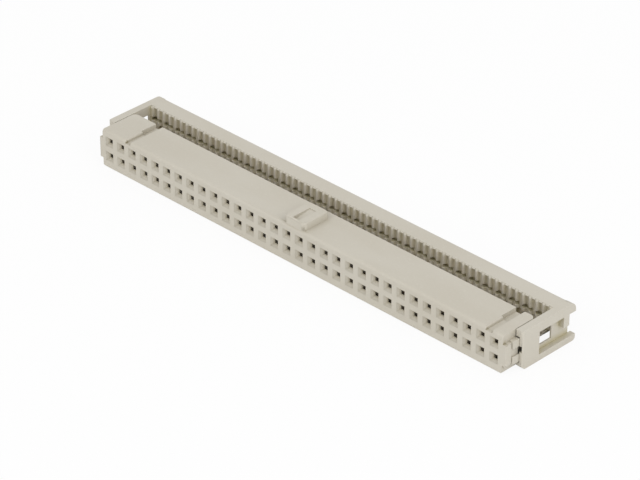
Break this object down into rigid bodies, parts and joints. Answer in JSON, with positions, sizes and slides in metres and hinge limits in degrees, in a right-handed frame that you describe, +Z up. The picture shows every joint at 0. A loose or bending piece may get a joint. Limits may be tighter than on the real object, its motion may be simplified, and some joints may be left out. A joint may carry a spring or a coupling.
{
  "type": "insulation displacement connector",
  "caption": "Two-row insulation displacement socket for flat ribbon cable, with a polarising key and a press-on cable cover in its raised position.",
  "frame": {"origin": "centre of the mating face, between the two rows of pin holes", "axes": "+X along the rows, +Y from the mating face to the cable cover, +Z up through the polarising key"},
  "size_m": [0.0846, 0.0138, 0.0076],
  "materials": {
    "moulding": "light beige-grey glass-filled thermoplastic, fine matte surface",
    "cover_moulding": "light beige-grey glass-filled thermoplastic, fine matte surface",
    "contact_metal": "phosphor bronze strip"
  },
  "bodies": {
    "socket": {"housing": "moulding", "contacts_col_01": "contact_metal", "contacts_col_02": "contact_metal", "contacts_col_03": "contact_metal", "contacts_col_04": "contact_metal", "contacts_col_05": "contact_metal", "contacts_col_06": "contact_metal", "contacts_col_07": "contact_metal", "contacts_col_08": "contact_metal", "contacts_col_09": "contact_metal", "contacts_col_10": "contact_metal", "contacts_col_11": "contact_metal", "contacts_col_12": "contact_metal", "contacts_col_13": "contact_metal", "contacts_col_14": "contact_metal", "contacts_col_15": "contact_metal", "contacts_col_16": "contact_metal", "contacts_col_17": "contact_metal", "contacts_col_18": "contact_metal", "contacts_col_19": "contact_metal", "contacts_col_20": "contact_metal", "contacts_col_21": "contact_metal", "contacts_col_22": "contact_metal", "contacts_col_23": "contact_metal", "contacts_col_24": "contact_metal", "contacts_col_25": "contact_metal", "contacts_col_26": "contact_metal", "contacts_col_27": "contact_metal", "contacts_col_28": "contact_metal", "contacts_col_29": "contact_metal", "contacts_col_30": "contact_metal", "contacts_col_31": "contact_metal", "contacts_col_32": "contact_metal"},
    "cable_cover": {"cover": "cover_moulding"}
  },
  "joints": [
    {"name": "cover_press", "type": "slide", "parent": "socket", "child": "cable_cover", "axis": [0, -1, 0], "range_m": [0, 0.0026]}
  ]
}
